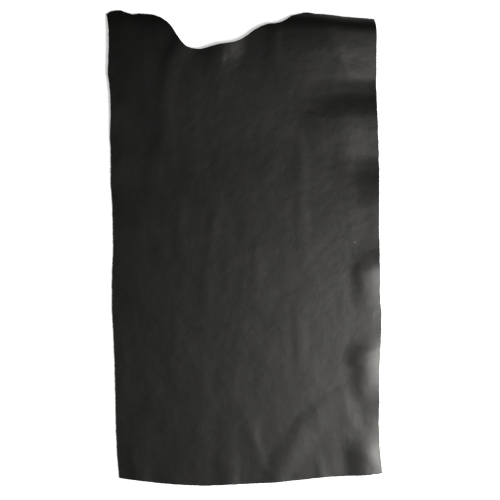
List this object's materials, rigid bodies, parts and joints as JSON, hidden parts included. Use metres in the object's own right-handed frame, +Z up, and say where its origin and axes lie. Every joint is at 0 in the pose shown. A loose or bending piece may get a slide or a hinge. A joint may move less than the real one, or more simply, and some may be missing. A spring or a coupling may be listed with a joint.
{
  "type": "leather hide",
  "caption": "Cut panel of black satin leather laid flat, with a notched natural end that curls down and one ruffled side.",
  "frame": {"origin": "on the surface it lies on, under the middle of the panel", "axes": "+Y along the length to the notched end, +X to the ruffled side, +Z up out of the grain side"},
  "size_m": [0.6955, 1.2002, 0.0204],
  "materials": {
    "black_leather": "satin"
  },
  "bodies": {
    "root": {"hide": "black_leather"}
  },
  "joints": []
}
